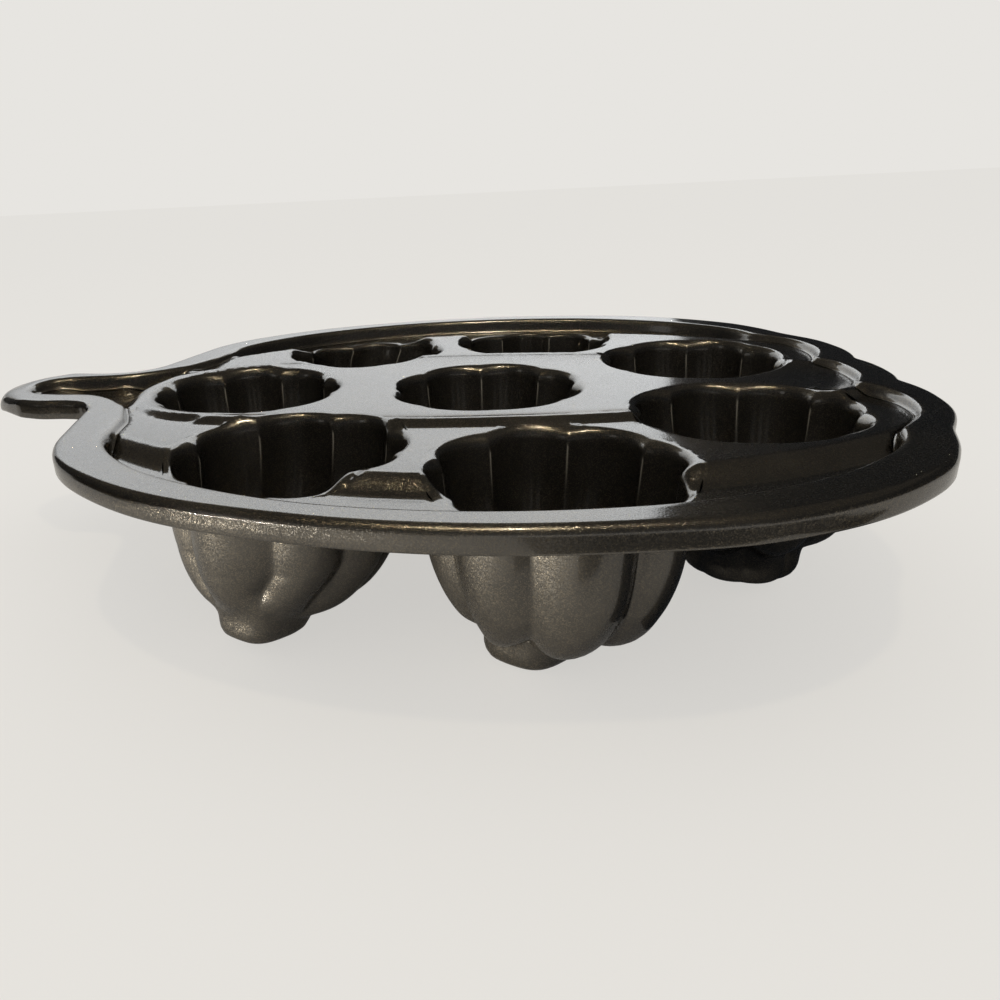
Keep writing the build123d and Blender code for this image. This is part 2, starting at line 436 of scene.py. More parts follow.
def outward(loop):
    """Unit normals of a counterclockwise loop, pointing out of it."""
    tangent = np.roll(loop, -2, axis=0) - np.roll(loop, 2, axis=0)
    tangent /= np.linalg.norm(tangent, axis=1)[:, None]
    return np.stack([tangent[:, 1], -tangent[:, 0]], axis=1)


# Height of the deck

def smooth_min(a, b, k):
    """The smaller of two heights, rounded over k where they cross."""
    h = np.clip(0.5 + 0.5 * (b - a) / k, 0, 1)
    return b * (1 - h) + a * h - k * h * (1 - h)


def smooth_max(a, b, k):
    """The larger of two heights, rounded over k where they cross."""
    return -smooth_min(-a, -b, k)


def smooth_step(x):
    """Rises smoothly from 0 to 1 as x does, and stays there."""
    t = np.clip(x, 0, 1)
    return t * t * (3 - 2 * t)


def grown(value, start, width):
    """Rises smoothly from 0 at the start to 1 a width later."""
    return smooth_step((value - start) / width)


def oval_distance(x, y, oval):
    """Distance to an ellipse about (middle, 0), roughly, and negative inside it."""
    middle, a, b = oval
    gx = (x - middle) / a
    gy = y / b
    g = np.sqrt(gx ** 2 + gy ** 2) + 1e-9
    slope = np.sqrt((gx / a) ** 2 + (gy / b) ** 2) / g + 1e-9
    return (g - 1) / slope


def center_distance(x, y):
    """Distance to the edge of the center rib, which ends round the cup beside the handle."""
    oval = np.maximum(oval_distance(x, y, center_oval), -(x + ring_radius))
    disc = np.hypot(x + ring_radius, y) - end_disc_radius
    return smooth_min(oval, disc, end_disc_blend)


def crest_face(crest, distance):
    """The sloping face outside a rib's raised edge."""
    return crest + crest_overshoot - crest_face_slope * distance


def cove_height(x, y):
    """Floor of the handle's hollow, which rises at its sides and towards the tip."""
    hollow = cove_hollow * y ** 2 * smooth_step((hollow_from - x) / hollow_width)
    ramp = ramp_slope * np.clip(ramp_from - x - ramp_slant * y, 0, ramp_length)
    return cove_floor + hollow + ramp


def deck_height(x, y):
    """Top of the deck: dished ribs with raised edges, lower outer ribs, and the cove of the handle."""
    x = np.asarray(x, dtype=float)
    y = np.asarray(y, dtype=float)
    d1 = center_distance(x, y)
    d2 = oval_distance(x, y, side_oval)
    center = center_crest * np.clip(1 + d1 / center_dish, 0, 1) ** center_dish_power
    center = smooth_min(center, crest_face(center_crest, d1), center_crest_round)
    side = side_floor + (side_crest - side_floor) * np.clip(1 + d2 / side_dish, 0, 1) ** side_dish_power
    side = smooth_min(side, crest_face(side_crest, d2), side_crest_round)
    outside = smooth_max(side, outer_floor + 0 * x, outer_round)
    ridge_x = ridge_place + ridge_bend * np.abs(y)
    into_cove = smooth_step((ridge_x + cove_entry - x) / cove_entry_width)
    ridge = cove_ridge * np.exp(-((x - ridge_x) / ridge_width) ** 2)
    outside = outside * (1 - into_cove) + cove_height(x, y) * into_cove + ridge
    return smooth_max(center, outside, rib_foot_round)


# Meshes. Points are gathered in one list so that all pieces share one smooth surface.

class Casting:
    """Points and faces of the whole casting, the faces by piece."""

    def __init__(self):
        self.points = []
        # Each point's share of painted highlight
        self.wear = []
        self.count = 0
        self.faces = {}
        self.partner = {}

    def add(self, xyz, wear=0.0):
        """Adds points, with how much painted highlight their coat gets, and returns their numbers."""
        xyz = np.asarray(xyz, dtype=float).reshape(-1, 3)
        start = self.count
        self.points.append(xyz)
        self.wear.append(np.zeros(len(xyz)) + wear)
        self.count += len(xyz)
        return np.arange(start, self.count)

    def face(self, piece, *ids):
        """Adds a face to a piece."""
        self.faces.setdefault(piece, []).append(tuple(int(i) for i in ids))

    def pair(self, tops, bottoms):
        """Remembers which points face each other through the metal."""
        for a, b in zip(np.ravel(tops), np.ravel(bottoms)):
            self.partner[int(a)] = int(b)
            self.partner[int(b)] = int(a)

    def places(self, ids):
        """Places of the points with these numbers."""
        return np.vstack(self.points)[np.asarray(ids, dtype=int)]


# Cups

class Cup:
    """A cup's place, its creases and the kind of bottom under it."""

    def __init__(self, name, center, creases):
        self.name = name
        self.center = np.array(center)
        self.angle, self.groove = flute(creases)
        self.spread = bottom_spread.get(name, 0.0)
        self.lean = stem_lean.get(name)
        self.has_stem = self.lean is not None
        self.leans_far = self.has_stem and math.hypot(*self.lean) > far_lean


def flute(creases):
    """Directions of a cup's samples in radians, and how deep in a crease each one lies (0 to 1)."""
    angles = []
    depth = []
    for i, start in enumerate(creases):
        stop = creases[(i + 1) % len(creases)]
        span = (stop - start) % 360
        u = np.arange(steps_per_lobe) / steps_per_lobe
        u = u - crease_crowding * np.sin(2 * math.pi * u)
        angles.append(start + span * u)
        arch = np.sin(math.pi * u) ** 2
        wave = np.sqrt(arch + crease_round ** 2 * (1 - arch))
        depth.append(1 - wave ** crease_power)
    return np.radians(np.concatenate(angles)), np.concatenate(depth)


def cup_profile(has_stem, inside):
    """Section of a cup from the middle of its bottom up, sampled evenly, in millimetres."""
    rows = stem_profile + wall_profile if has_stem else foot_profile + foot_wall
    profile = spline_through(np.array(rows) * cup_radius, profile_steps)
    return inward_offset(profile, cup_wall) if inside else profile


def inward_offset(profile, amount):
    """The profile moved towards the cup's inside by the wall."""
    tangent = np.gradient(profile, axis=0)
    tangent /= np.linalg.norm(tangent, axis=1)[:, None]
    normal = np.stack([-tangent[:, 1], tangent[:, 0]], axis=1)
    moved = profile + normal * amount
    moved[:, 0] = np.maximum(moved[:, 0], 0)
    moved[0, 0] = 0
    for _ in range(offset_passes):
        moved[1:-1] = 0.25 * moved[:-2] + 0.5 * moved[1:-1] + 0.25 * moved[2:]
    return moved


def crease_fade(cup, share):
    """How fully the creases show at a share of the cup's radius."""
    if cup.leans_far:
        return grown(share, *far_lean_fade)
    if cup.has_stem:
        return grown(share, *stem_fade)
    low = foot_low_share * grown(share, *foot_fade_low)
    return low + (1 - foot_low_share) * grown(share, *foot_fade_high)


def stem_reach(share, depth):
    """The share of its lean that a stem has here: it grows over the bowl and along the stub."""
    if share > stem_root:
        return stem_root_share * np.clip((1.0 - share) / (1.0 - stem_root), 0, 1)
    return stem_root_share + (1 - stem_root_share) * grown(depth, lean_from, lean_width)


def stem_rise(cup, share, depth, far, bowl):
    """How far a leaning stem's points rise, so that it stays on the bowl; far is their distance out."""
    there = np.interp(far, bowl[:, 0], bowl[:, 1])
    if share > stem_root:
        return there - np.interp(share * cup_radius, bowl[:, 0], bowl[:, 1])
    climb = np.clip((follow_to - depth) / follow_width, 0, 1)
    rise = climb * (there - bowl[0, 1])
    if cup.leans_far:
        rise = rise + short_stem * (1 - climb)
    return rise


def cup_row(cup, radius, z, bowl, crown):
    """Points round the cup at one step of its profile."""
    share = radius / cup_radius
    depth = -z / cup_radius
    fade = crease_fade(cup, share)
    deeper = far_lean_deepening if cup.leans_far else deepening
    lift = far_lean_lift if cup.leans_far else crease_lift
    pinch = 1 - crown * fade * cup.groove * (1.0 + deeper * smooth_step((1.0 - share) / deepening_width))
    along = radius * pinch * np.cos(cup.angle)
    across = radius * pinch * np.sin(cup.angle)
    level = z + lift * cup.groove * fade * smooth_step((lift_from - share) / lift_width)
    if cup.has_stem:
        ripple = stem_ripple * np.cos(stem_ripples * cup.angle + ripple_turn)
        bend = 1 + ripple * (1 - fade) * smooth_step(share / ripple_width)
        reach = stem_reach(share, depth)
        along = along * bend + cup.lean[0] * reach
        across = across * bend + cup.lean[1] * reach
        far = np.hypot(along, across) / pinch
        level = level + stem_rise(cup, share, depth, far, bowl)
    x = cup.center[0] + along + cup.spread * np.clip((depth - spread_from) / spread_width, 0, most_spread)
    y = cup.center[1] + across
    return np.stack([x, y, level], axis=1)


def blended_rows(rows):
    """The rows with the root of a leaning stem smoothed into the bowl; the ends stay."""
    rows = np.array(rows)
    for _ in range(root_passes):
        middle = 0.25 * rows[:-2] + 0.5 * rows[1:-1] + 0.25 * rows[2:]
        share = root_blend(len(middle))[:, None, None]
        rows[1:-1] = rows[1:-1] * (1 - share) + middle * share
    return list(rows)


def root_blend(count):
    """How much each row is smoothed: fully near the root, and not at all by the mouth."""
    at = np.arange(count) / count
    high_from, high_width = root_rows_high
    return grown(at, *root_rows_low) * smooth_step((high_from - at) / high_width)


def lip_rows(cup, last, inside):
    """Rows from the top of a cup's wall out to the ring where it joins the deck."""
    away = last[:, :2] - cup.center
    reach = np.hypot(away[:, 0], away[:, 1])
    circle = lip_circle if inside else under_circle
    drop = 0.0 if inside else -plate
    rows = []
    for out, up in lip_shape:
        radius = reach + (circle - reach) * out
        x = cup.center[0] + radius * np.cos(cup.angle)
        y = cup.center[1] + radius * np.sin(cup.angle)
        top = deck_height(x, y) + drop
        rows.append(np.stack([x, y, last[:, 2] + (top - last[:, 2]) * up], axis=1))
    return rows


def ridge_painted_highlight(groove, level):
    """How much painted highlight the sharp inner ridges get, from none to full, growing with height."""
    return (groove > ridge_groove) * grown(level, painted_highlight_from, painted_highlight_rise)


def cup_surface(casting, cup, inside):
    """One side of a cup from its bottom to the deck. Returns rows of point numbers and their mean heights."""
    profile = cup_profile(cup.has_stem, inside)
    bowl = profile[profile[:, 0] > bowl_from * cup_radius]
    crown = (1 - crease_share) * (1.0 if inside else outer_crease_gain)
    rows = [cup_row(cup, radius, z, bowl, crown) for radius, z in profile]
    if cup.leans_far:
        rows = blended_rows(rows)
    # Painted highlight on the sharp inner ridges, only inside the cup
    wear = [ridge_painted_highlight(cup.groove, row[:, 2]) if inside else 0.0 for row in rows]
    lip = lip_rows(cup, rows[-1], inside)
    rows += lip
    wear += [0.0] * len(lip)
    numbers = [casting.add(rows[0][:1])]
    numbers += [casting.add(row, amount) for row, amount in zip(rows[1:], wear[1:])]
    return numbers, [float(np.mean(row[:, 2])) for row in rows]


def add_band(casting, piece, low, high, flip):
    """Faces between two rows of points round a cup, where the lower one may be a single point."""
    count = len(high)
    for i in range(count):
        k = (i + 1) % count
        if len(low) == 1:
            ids = (low[0], high[i], high[k])
        else:
            ids = (low[i], high[i], high[k], low[k])
        casting.face(piece, *(reversed(ids) if flip else ids))


def add_cup(casting, cup):
    """A cup with its two sides, split into the fluted wall and the bottom. Returns its rings at the deck."""
    inner, _ = cup_surface(casting, cup, True)
    outer, levels = cup_surface(casting, cup, False)
    wall_piece = "cup_" + cup.name
    low_piece = ("stem_end_" if cup.has_stem else "foot_") + cup.name
    split = next(i for i, z in enumerate(levels) if i > bottom_rows and z > -split_depth)
    for rows, flip in ((inner, False), (outer, True)):
        for j in range(len(rows) - 1):
            piece = low_piece if j < split else wall_piece
            add_band(casting, piece, rows[j], rows[j + 1], flip)
    for j in (split, len(inner) - 1):
        casting.pair(inner[j], outer[j])
    return inner[-1], outer[-1]


# Flange, edge and recess wall

def rim_columns(inner_line, outer_line, height):
    """Cross-section of flange, wall and edge at every station, from the deck's top to its underside."""
    n_in = outward(inner_line)
    n_out = outward(outer_line)
    count = len(inner_line)
    drop = rim_top - height
    plate_bottom = rim_top - plate
    edge_bottom = rim_top - edge_height

    def by_wall(offset, z):
        """Points at a distance out from the wall's line."""
        return np.column_stack([inner_line + n_in * offset, np.zeros(count) + z])

    def by_edge(offset, z):
        """Points at a distance out from the edge's line."""
        return np.column_stack([outer_line + n_out * offset, np.zeros(count) + z])

    def between(start, end, shares, z):
        """Level columns at these shares of the way from one line to another."""
        return [np.column_stack([start * (1 - t) + end * t, np.full(count, z)]) for t in shares]

    columns = [by_wall(out, height + drop * share) for out, share in wall_rise]
    columns += [by_wall(out, rim_top - np.minimum(depth, drop * share)) for out, depth, share in wall_brow]
    columns.append(by_wall(brow_end, rim_top))
    tip = smooth_step((tip_start - outer_line[:, 0]) / tip_length)
    round_in = (edge_round + (tip_round - edge_round) * tip)[:, None]
    round_down = (edge_round + (tip_drop - edge_round) * tip)[:, None]
    flange_end = outer_line - n_out * (round_in + edge_margin)
    columns += between(inner_line + n_in * brow_end, flange_end, flange_steps, rim_top)
    for i in range(1, edge_round_steps + 1):
        a = math.pi / 2 * i / edge_round_steps
        place = outer_line - n_out * round_in * (1 - math.sin(a))
        columns.append(np.column_stack([place, rim_top - round_down * (1 - math.cos(a))]))
    middle = (rim_top - round_down + edge_bottom + edge_foot[0][1]) / 2
    columns.append(np.column_stack([outer_line, middle]))
    columns += [by_edge(out, edge_bottom + up) for out, up in edge_foot]
    columns += [by_edge(out, plate_bottom - depth) for out, depth in skirt_root]
    under_start = outer_line + n_out * skirt_root[-1][0]
    under_end = inner_line + n_in * under_brow_end
    columns += between(under_start, under_end, under_flange_steps, plate_bottom)
    columns += [by_wall(out, plate_bottom - depth) for out, depth in under_brow]
    columns += [by_wall(out, height + drop * share + up - plate) for out, share, up in under_wall]
    for column in columns:
        past = np.clip((tip_dip_start - column[:, 0]) / tip_length, 0, 1)
        column[:, 2] -= tip_dip * past ** 2
    return columns


def add_rim(casting, inner_line, outer_line):
    """Flange, edge and recess wall. Returns the wall's foot, its point numbers on both sides of the deck, and
    the foot's place on the underside."""
    foot = inner_line - outward(inner_line) * wall_foot
    height = deck_height(foot[:, 0], foot[:, 1])
    columns = rim_columns(inner_line, outer_line, height)
    ids = [casting.add(c) for c in columns]
    wall_top = len(wall_rise) + len(wall_brow)
    wall_under = len(columns) - 1 - len(under_brow) - len(under_wall)
    count = len(inner_line)
    middle_x = (inner_line[:, 0] + np.roll(inner_line[:, 0], -1)) / 2
    for j in range(len(columns) - 1):
        for i in range(count):
            k = (i + 1) % count
            if middle_x[i] < handle_cut:
                piece = "handle"
            elif j < wall_top or j >= wall_under:
                piece = "recess_wall"
            else:
                piece = "rim_flange"
            casting.face(piece, ids[j][i], ids[j][k], ids[j + 1][k], ids[j + 1][i])
    casting.pair(ids[0], ids[-1])
    casting.pair(ids[wall_top], ids[wall_under])
    return foot, ids[0], ids[-1], columns[-1][:, :2]


# Deck

def inside_loop(x, y, loop):
    """Which points lie inside a closed loop."""
    result = np.zeros(len(x), dtype=bool)
    x1, y1 = loop[:, 0], loop[:, 1]
    x2, y2 = np.roll(x1, -1), np.roll(y1, -1)
    for a, b, c, d in zip(x1, y1, x2, y2):
        crosses = (b > y) != (d > y)
        if b != d:
            at = a + (y - b) * (c - a) / (d - b)
            result ^= crosses & (x < at)
    return result


def nearest_gap(points, targets):
    """Distance from each point to the nearest of some others, and which one that is."""
    best = np.full(len(points), 1e9)
    which = np.zeros(len(points), dtype=int)
    for start in range(0, len(points), points_at_once):
        part = points[start:start + points_at_once]
        d = np.hypot(part[:, None, 0] - targets[None, :, 0], part[:, None, 1] - targets[None, :, 1])
        which[start:start + points_at_once] = d.argmin(axis=1)
        best[start:start + points_at_once] = d.min(axis=1)
    return best, which


def crest_lines():
    """Points along the edges of the ribs, so that the deck's triangles follow them."""
    lines = []
    for middle, a, b in (center_oval, side_oval):
        t = np.arange(0, 2 * math.pi, grid_step / b)
        x = middle + a * np.cos(t)
        y = b * np.sin(t)
        for out in crest_net_lines:
            lines.append(np.column_stack([middle + (x - middle) * (1 + out / a), y * (1 + out / b)]))
    return np.vstack(lines)


def outside_cups(points, centers, radius):
    """Which points lie further than a radius from every cup's middle."""
    keep = np.ones(len(points), dtype=bool)
    for cx, cy in centers:
        keep &= np.hypot(points[:, 0] - cx, points[:, 1] - cy) > radius
    return keep


def net_grid(foot, fixed, centers):
    """Free points of the deck's net: an even triangular grid that follows the edges of the ribs."""
    low, high = foot.min(axis=0), foot.max(axis=0)
    xs = np.arange(low[0], high[0], grid_step)
    ys = np.arange(low[1], high[1], grid_step * math.sqrt(3) / 2)
    gx, gy = np.meshgrid(xs, ys)
    gx = gx + (np.arange(len(ys)) % 2)[:, None] * grid_step / 2
    grid = np.column_stack([gx.ravel(), gy.ravel()])
    crest = crest_lines()
    near_crest, _ = nearest_gap(grid, crest)
    grid = np.vstack([grid[near_crest > crest_clearance * grid_step], crest])
    keep = inside_loop(grid[:, 0], grid[:, 1], foot)
    keep &= outside_cups(grid, centers, lip_circle + lip_clearance)
    grid = grid[keep]
    clear, _ = nearest_gap(grid, fixed)
    return grid[clear > fixed_clearance * grid_step]


def deck_net(foot, loops, centers):
    """The deck's net between closed loops of fixed points. Returns its points, which of the fixed points each
    one is, if any, and its triangles."""
    fixed = np.vstack(loops)
    edges = []
    start = 0
    for loop in loops:
        edges += [(start + i, start + (i + 1) % len(loop)) for i in range(len(loop))]
        start += len(loop)
    flat = np.vstack([fixed, net_grid(foot, fixed, centers)])
    points = [Vector((float(a), float(b))) for a, b in flat]
    verts, _, faces, origin, _, _ = delaunay_2d_cdt(points, edges, [], 0, net_tolerance)
    source = [o[0] if o and o[0] < len(fixed) else None for o in origin]
    xy = np.array([(v.x, v.y) for v in verts])
    tri = np.array([f for f in faces if len(f) == 3])
    mid = xy[tri].mean(axis=1)
    keep = inside_loop(mid[:, 0], mid[:, 1], foot) & outside_cups(mid, centers, lip_circle - hole_margin)
    return xy, source, tri[keep]


def underside_shift(here, foot, foot_below, centers):
    """How far sideways the underside's points lie from the top's, so that they meet the wall and the cups."""
    wall_gap, wall_at = nearest_gap(here, foot)
    weight = np.exp(-wall_gap / shift_reach)
    total = (foot_below - foot)[wall_at] * (weight ** 2)[:, None]
    for center in centers:
        away = here - center
        distance = np.hypot(away[:, 0], away[:, 1])
        w = np.exp(-(distance - lip_circle) / shift_reach)
        move = away / distance[:, None] * (under_circle - lip_circle)
        total += move * (w ** 2)[:, None]
        weight = weight + w
    return total / np.maximum(weight, 1.0)[:, None]


def add_deck(casting, foot, foot_top, foot_under, foot_below, holes):
    """Deck between the cups and the wall, as a fine net with its underside."""
    centers = [center for center, _, _ in holes]
    loops = [foot] + [casting.places(top)[:, :2] for _, top, _ in holes]
    top_ids = np.concatenate([foot_top] + [top for _, top, _ in holes])
    under_ids = np.concatenate([foot_under] + [under for _, _, under in holes])
    xy, source, triangles = deck_net(foot, loops, centers)
    own = np.array([i for i, s in enumerate(source) if s is None])
    here = xy[own]
    height = deck_height(here[:, 0], here[:, 1])
    below = here + underside_shift(here, foot, foot_below, centers)
    top_new = casting.add(np.column_stack([here, height]))
    under_new = casting.add(np.column_stack([below, height - plate]))
    casting.pair(top_new, under_new)
    top_of = {i: top_ids[s] for i, s in enumerate(source) if s is not None}
    under_of = {i: under_ids[s] for i, s in enumerate(source) if s is not None}
    top_of.update(zip(own.tolist(), top_new))
    under_of.update(zip(own.tolist(), under_new))
    middles = xy[triangles].mean(axis=1)
    for t, (x, y) in zip(triangles, middles):
        piece = deck_piece(x, y)
        p, q, r = xy[t[0]], xy[t[1]], xy[t[2]]
        turn = (q[0] - p[0]) * (r[1] - p[1]) - (q[1] - p[1]) * (r[0] - p[0])
        order = t if turn > 0 else t[::-1]
        casting.face(piece, *(top_of[int(i)] for i in order))
        casting.face(piece, *(under_of[int(i)] for i in reversed(order)))


def deck_piece(x, y):
    """Name of the section a deck triangle belongs to."""
    if x < handle_cut:
        return "handle"
    if center_distance(x, y) < 0:
        return "deck_rib_center"
    if x < -ring_radius - cove_past_ring and abs(y) < cove_half:
        return "handle_cove"
    side = "back" if y > 0 else "front"
    if oval_distance(x, y, side_oval) > 0:
        return f"deck_rib_{side}_outer"
    if x < tab_cut:
        return f"deck_tab_{side}"
    return f"deck_rib_{side}"


# Pieces

def new_object(name, data):
    """An object of the scene, with its mesh, lamp or camera."""
    obj = bpy.data.objects.new(name, data)
    bpy.context.scene.collection.objects.link(obj)
    return obj


def casting_normals(points, faces):
    """Smooth normals of the whole casting at its points."""
    whole = bpy.data.meshes.new("casting")
    whole.from_pydata([tuple(p) for p in points], [], faces)
    whole.update()
    normals = np.zeros(len(points) * 3, dtype=np.float32)
    whole.vertices.foreach_get("normal", normals)
    bpy.data.meshes.remove(whole)
    return normals.reshape(-1, 3)


def make_pieces(casting, origin):
    """One closed mesh per section, all shaded as one surface."""
    points = (np.vstack(casting.points) + np.array(origin)) / mm_per_metre
    wear = np.concatenate(casting.wear)
    names = sorted(casting.faces)
    normals = casting_normals(points, [f for n in names for f in casting.faces[n]])
    pieces = {}
    for name in names:
        faces = casting.faces[name] + closing_faces(casting.faces[name], casting.partner)
        used = sorted({i for f in faces for i in f})
        place = {i: n for n, i in enumerate(used)}
        mesh = bpy.data.meshes.new(name)
        mesh.from_pydata([tuple(points[i]) for i in used], [], [[place[i] for i in f] for f in faces])
        mesh.polygons.foreach_set("use_smooth", [True] * len(mesh.polygons))
        mesh.update()
        mesh.normals_split_custom_set_from_vertices([tuple(normals[i]) for i in used])
        # Each point's share of painted highlight, read by the coat's material
        painted_shine = mesh.attributes.new("wear", "FLOAT", "POINT")
        painted_shine.data.foreach_set("value", wear[used].astype(np.float32))
        pieces[name] = new_object("cast_" + name, mesh)
    return pieces


def closing_faces(faces, partner):
    """Faces that close a section where it meets its neighbours inside the metal."""
    uses = {(a, b) for f in faces for a, b in zip(f, f[1:] + f[:1])}
    extra = []
    done = set()
    for f in faces:
        for a, b in zip(f, f[1:] + f[:1]):
            if (b, a) in uses or a not in partner or b not in partner:
                continue
            c, d = partner[b], partner[a]
            key = frozenset((a, b, c, d))
            if ((c, d) in uses or (d, c) in uses) and key not in done and len(key) == 4:
                done.add(key)
                extra.append((b, a, d, c))
    return extra


# Materials

def node(tree, kind, inputs=None, **attributes):
    """A new shader node with its attributes. An input is a value, or the output of another node to link."""
    made = tree.nodes.new(kind)
    for key, value in attributes.items():
        setattr(made, key, value)
    for key, value in (inputs or {}).items():
        if isinstance(value, bpy.types.NodeSocket):
            tree.links.new(value, made.inputs[key])
        else:
            made.inputs[key].default_value = value
    return made


def emptied_tree(owner):
    """The node tree of a material or a world, with nothing in it."""
    owner.use_nodes = True
    owner.node_tree.nodes.clear()
    return owner.node_tree


def number_math(tree, operation, *inputs):
    """The result of an operation on numbers."""
    return node(tree, "ShaderNodeMath", dict(enumerate(inputs)), operation=operation).outputs["Value"]


def vector_math(tree, operation, inputs):
    """The result of an operation on vectors."""
    return node(tree, "ShaderNodeVectorMath", inputs, operation=operation).outputs["Vector"]


def mixed_color(tree, share, first, second):
    """The first color with that share of the second."""
    inputs = {"Factor": share, "A": first, "B": second}
    return node(tree, "ShaderNodeMix", inputs, data_type="RGBA").outputs["Result"]


def mixed_shader(tree, share, first, second):
    """The first shader with that share of the second."""
    return node(tree, "ShaderNodeMixShader", {"Fac": share, 1: first, 2: second}).outputs["Shader"]


def coat_mottle(tree, where):
    """Soft mottling between the coat's darker and lighter tone."""
    mottle = node(tree, "ShaderNodeTexNoise", {"Vector": where, "Scale": mottle_scale, "Detail": 5.0})
    base = node(tree, "ShaderNodeValToRGB", {"Fac": mottle.outputs["Fac"]})
    base.color_ramp.elements[0].position = mottle_range[0]
    base.color_ramp.elements[0].color = coat_dark
    base.color_ramp.elements[1].position = mottle_range[1]
    base.color_ramp.elements[1].color = coat_light
    return base.outputs["Color"]


def coat_color(tree, where, flakes, painted_shine):
    """Mottled coat with paler flakes, and a pale painted highlight along the inner ridges."""
    split = node(tree, "ShaderNodeSeparateColor", {"Color": flakes})
    ends = {"From Min": flake_range[0], "From Max": flake_range[1], "To Max": most_flake}
    share = node(tree, "ShaderNodeMapRange", {"Value": split.outputs["Red"], **ends})
    color = mixed_color(tree, share.outputs["Result"], coat_mottle(tree, where), flake_light)
    return mixed_color(tree, painted_shine, color, painted_shine_color)


def coat_roughness(tree, where):
    """Roughness that drifts softly over the surface."""
    haze = node(tree, "ShaderNodeTexNoise", {"Vector": where, "Scale": haze_scale, "Detail": 3.0})
    seen = {"Value": haze.outputs["Fac"], "From Min": haze_range[0], "From Max": haze_range[1]}
    made = {"To Min": roughness_range[0], "To Max": roughness_range[1]}
    return node(tree, "ShaderNodeMapRange", {**seen, **made}).outputs["Result"]


def flake_normal(tree, flakes):
    """Normal that tilts a little from flake to flake, so that the flakes glitter."""
    surface = node(tree, "ShaderNodeNewGeometry").outputs["Normal"]
    centered = vector_math(tree, "SUBTRACT", {0: flakes, 1: (0.5, 0.5, 0.5)})
    scaled = vector_math(tree, "SCALE", {0: centered, "Scale": flake_tilt})
    tilted = vector_math(tree, "ADD", {0: surface, 1: scaled})
    return vector_math(tree, "NORMALIZE", {0: tilted})


def grain_normal(tree, where):
    """Fine grain in the gloss layer."""
    grain = node(tree, "ShaderNodeTexNoise", {"Vector": where, "Scale": grain_scale, "Detail": 2.0})
    bump = {"Height": grain.outputs["Fac"], "Strength": grain_strength, "Distance": grain_depth}
    return node(tree, "ShaderNodeBump", bump).outputs["Normal"]


def non_stick_material():
    """Dark bronze non-stick coat on cast metal, with fine flakes, soft mottling and a painted highlight on
    the inner ridges.
    """
    mat = bpy.data.materials.new("non_stick_cast")
    tree = emptied_tree(mat)
    where = node(tree, "ShaderNodeTexCoord").outputs["Object"]
    flakes = node(tree, "ShaderNodeTexVoronoi", {"Vector": where, "Scale": flake_scale}).outputs["Color"]
    # Share of painted highlight along the inner ridges, from the points' attribute
    wear = node(tree, "ShaderNodeAttribute", attribute_name="wear").outputs["Fac"]
    painted_shine = number_math(tree, "POWER", wear, painted_highlight_power)
    metal = {"Value": painted_shine, "To Min": metallic_plain, "To Max": metallic_painted_shine}
    bsdf = node(tree, "ShaderNodeBsdfPrincipled", {
        "Base Color": coat_color(tree, where, flakes, painted_shine),
        "Metallic": node(tree, "ShaderNodeMapRange", metal).outputs["Result"],
        "Roughness": coat_roughness(tree, where),
        "Normal": flake_normal(tree, flakes),
        "Specular Tint": grey_edge_tint,
        "Coat Weight": 1.0,
        "Coat Roughness": gloss_roughness,
        "Coat IOR": 1.5,
        "Coat Normal": grain_normal(tree, where),
    })
    node(tree, "ShaderNodeOutputMaterial", {"Surface": bsdf.outputs["BSDF"]})
    return mat


def floor_material():
    """Pale studio floor that looks like the backdrop and keeps a soft shadow; reflections see it dimmed."""
    mat = bpy.data.materials.new("studio_floor")
    tree = emptied_tree(mat)
    path = node(tree, "ShaderNodeLightPath")
    glow = number_math(tree, "MULTIPLY", path.outputs["Is Camera Ray"], floor_glow)
    dimmed = number_math(tree, "MULTIPLY", path.outputs["Is Glossy Ray"], floor_dim)
    lit = node(tree, "ShaderNodeBsdfDiffuse", {"Color": backdrop}).outputs["BSDF"]
    shown = node(tree, "ShaderNodeEmission", {"Color": backdrop}).outputs["Emission"]
    unlit = node(tree, "ShaderNodeEmission", {"Strength": 0.0}).outputs["Emission"]
    surface = mixed_shader(tree, dimmed, mixed_shader(tree, glow, lit, shown), unlit)
    node(tree, "ShaderNodeOutputMaterial", {"Surface": surface})
    return mat


def card_material(name, color, strength, change):
    """Even light, or one that changes by that much per metre across and up the card."""
    mat = bpy.data.materials.new(name)
    tree = emptied_tree(mat)
    if change != no_change:
        place = node(tree, "ShaderNodeTexCoord").outputs["Object"]
        split = node(tree, "ShaderNodeSeparateXYZ", {"Vector": place})
        across = number_math(tree, "MULTIPLY_ADD", split.outputs["X"], change[0], strength)
        strength = number_math(tree, "MULTIPLY_ADD", split.outputs["Y"], change[1], across)
    light = node(tree, "ShaderNodeEmission", {"Color": (*color, 1), "Strength": strength})
    node(tree, "ShaderNodeOutputMaterial", {"Surface": light.outputs["Emission"]})
    return mat


# Studio

def look_rotation(yaw, pitch, roll):
    """Camera axes as columns: right, up, back."""
    a, e, r = (math.radians(v) for v in (yaw, pitch, roll))
    back = Vector((math.sin(a) * math.cos(e), -math.cos(a) * math.cos(e), math.sin(e)))
    right = Vector((0, 0, 1)).cross(back).normalized()
    up = back.cross(right)
    turned_right = right * math.cos(r) + up * math.sin(r)
    turned_up = up * math.cos(r) - right * math.sin(r)
    return Matrix((turned_right, turned_up, back)).transposed()


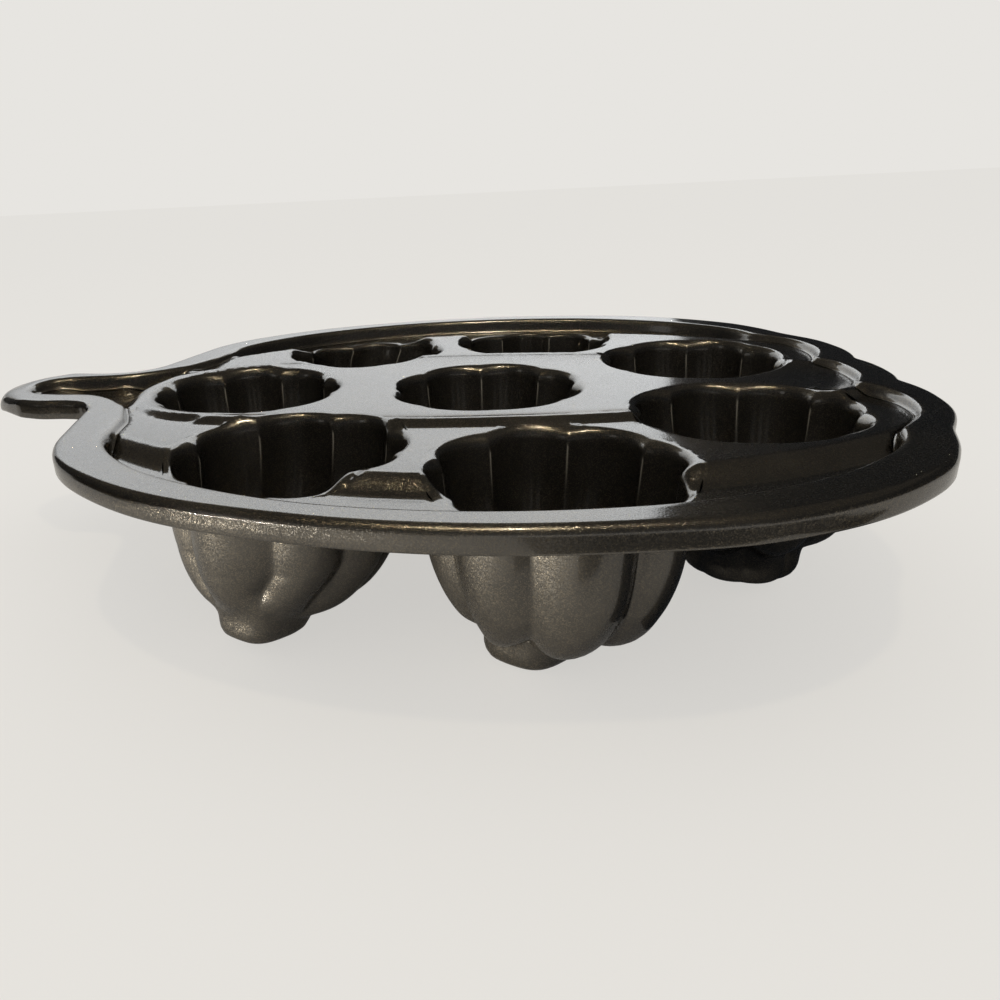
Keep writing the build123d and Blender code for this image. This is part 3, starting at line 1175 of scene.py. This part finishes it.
def add_camera(origin):
    """The camera that took the photograph."""
    data = bpy.data.cameras.new("camera")
    data.sensor_width = sensor_width
    data.lens = sensor_width * focal_share
    data.shift_x = (frame_size / 2 - middle_point[0]) / frame_size
    data.shift_y = (middle_point[1] - frame_size / 2) / frame_size
    data.clip_start = near_clip
    camera = new_object("camera", data)
    matrix = look_rotation(camera_yaw, camera_pitch, camera_roll).to_4x4()
    matrix.translation = (Vector(camera_place) + Vector(origin)) / mm_per_metre
    camera.matrix_world = matrix
    bpy.context.scene.camera = camera


def rectangle(name, width, height, material):
    """A flat rectangle about the origin."""
    mesh = bpy.data.meshes.new(name)
    w, h = width / 2, height / 2
    mesh.from_pydata([(-w, -h, 0), (w, -h, 0), (w, h, 0), (-w, h, 0)], [], [(0, 1, 2, 3)])
    mesh.materials.append(material)
    return new_object(name, mesh)


def aim_at(obj, place, aim):
    """Puts an object at a place with its -Z side towards a point."""
    obj.location = place
    obj.rotation_euler = (Vector(aim) - Vector(place)).to_track_quat("-Z", "Y").to_euler()


def add_card(name, place, aim, size, color, strength=1.0, change=no_change):
    """A flat card that shows only in reflections."""
    card = rectangle(name, *size, card_material(name, color, strength, change))
    aim_at(card, place, aim)
    card.visible_camera = False
    card.visible_diffuse = False
    card.visible_shadow = False
    card.visible_transmission = False
    return card


def add_flag(name, place, aim, size):
    """A black card that shades the metal from a lamp, and shows only in reflections."""
    flag = add_card(name, place, aim, size, black, 0.0)
    flag.visible_shadow = True


def add_light(name, place, aim, size, power, color):
    """A rectangular lamp that faces a point."""
    data = bpy.data.lights.new(name, "AREA")
    data.shape = "RECTANGLE"
    data.size = size[0]
    data.size_y = size[1]
    data.energy = power
    data.color = color
    light = new_object(name, data)
    aim_at(light, place, aim)
    return light


def add_world():
    """Even soft light, with the pale backdrop for the camera and for reflections."""
    world = bpy.data.worlds.new("studio")
    bpy.context.scene.world = world
    tree = emptied_tree(world)
    path = node(tree, "ShaderNodeLightPath")
    seen = path.outputs["Is Camera Ray"]
    for kind in ("Is Glossy Ray", "Is Transmission Ray"):
        seen = number_math(tree, "MAXIMUM", seen, path.outputs[kind])
    soft = node(tree, "ShaderNodeBackground", {"Color": soft_white, "Strength": world_light})
    shown = node(tree, "ShaderNodeBackground", {"Color": backdrop, "Strength": 1.0})
    light = mixed_shader(tree, seen, soft.outputs["Background"], shown.outputs["Background"])
    node(tree, "ShaderNodeOutputWorld", {"Surface": light})


def add_studio(pieces):
    """Floor, cards, a small key lamp, and a low lamp from the left that lights only the metal."""
    floor = rectangle("floor", floor_width, floor_width, floor_material())
    floor.location.z = -floor_gap
    for card in cards:
        add_card(*card)
    add_light(*key_lamp)
    metal_light = add_light(*low_lamp)
    metal = bpy.data.collections.new("lit_by_low_lamp")
    for piece in pieces:
        metal.objects.link(piece)
    metal_light.light_linking.receiver_collection = metal
    for flag in flags:
        add_flag(*flag)
    add_world()


def make_casting():
    """The whole pan about the center cup's mouth."""
    casting = Casting()
    cups = [Cup("center", (0.0, 0.0), center_creases)]
    for number, (name, creases) in enumerate(ring_cups):
        a = math.pi + 2 * math.pi * number / outer_cups
        cups.append(Cup(name, (ring_radius * math.cos(a), ring_radius * math.sin(a)), creases))
    holes = [(cup.center, *add_cup(casting, cup)) for cup in cups]
    rim = add_rim(casting, *plan_curves())
    add_deck(casting, *rim, holes)
    return casting


def main():
    """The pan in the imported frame, with its coat, camera and studio."""
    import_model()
    low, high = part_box("cup_center")
    middle = [(a + b) / 2 * mm_per_metre for a, b in zip(low, high)]
    origin = (middle[0], middle[1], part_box("rim_flange")[1][2] * mm_per_metre - rim_top)
    pieces = make_pieces(make_casting(), origin)
    coat = non_stick_material()
    for name, piece in pieces.items():
        piece.data.materials.append(coat)
        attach(piece, "root")
        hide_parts(name)
    add_camera(origin)
    add_studio(pieces.values())


bpy.context.scene.view_settings.view_transform = "Standard"
main()
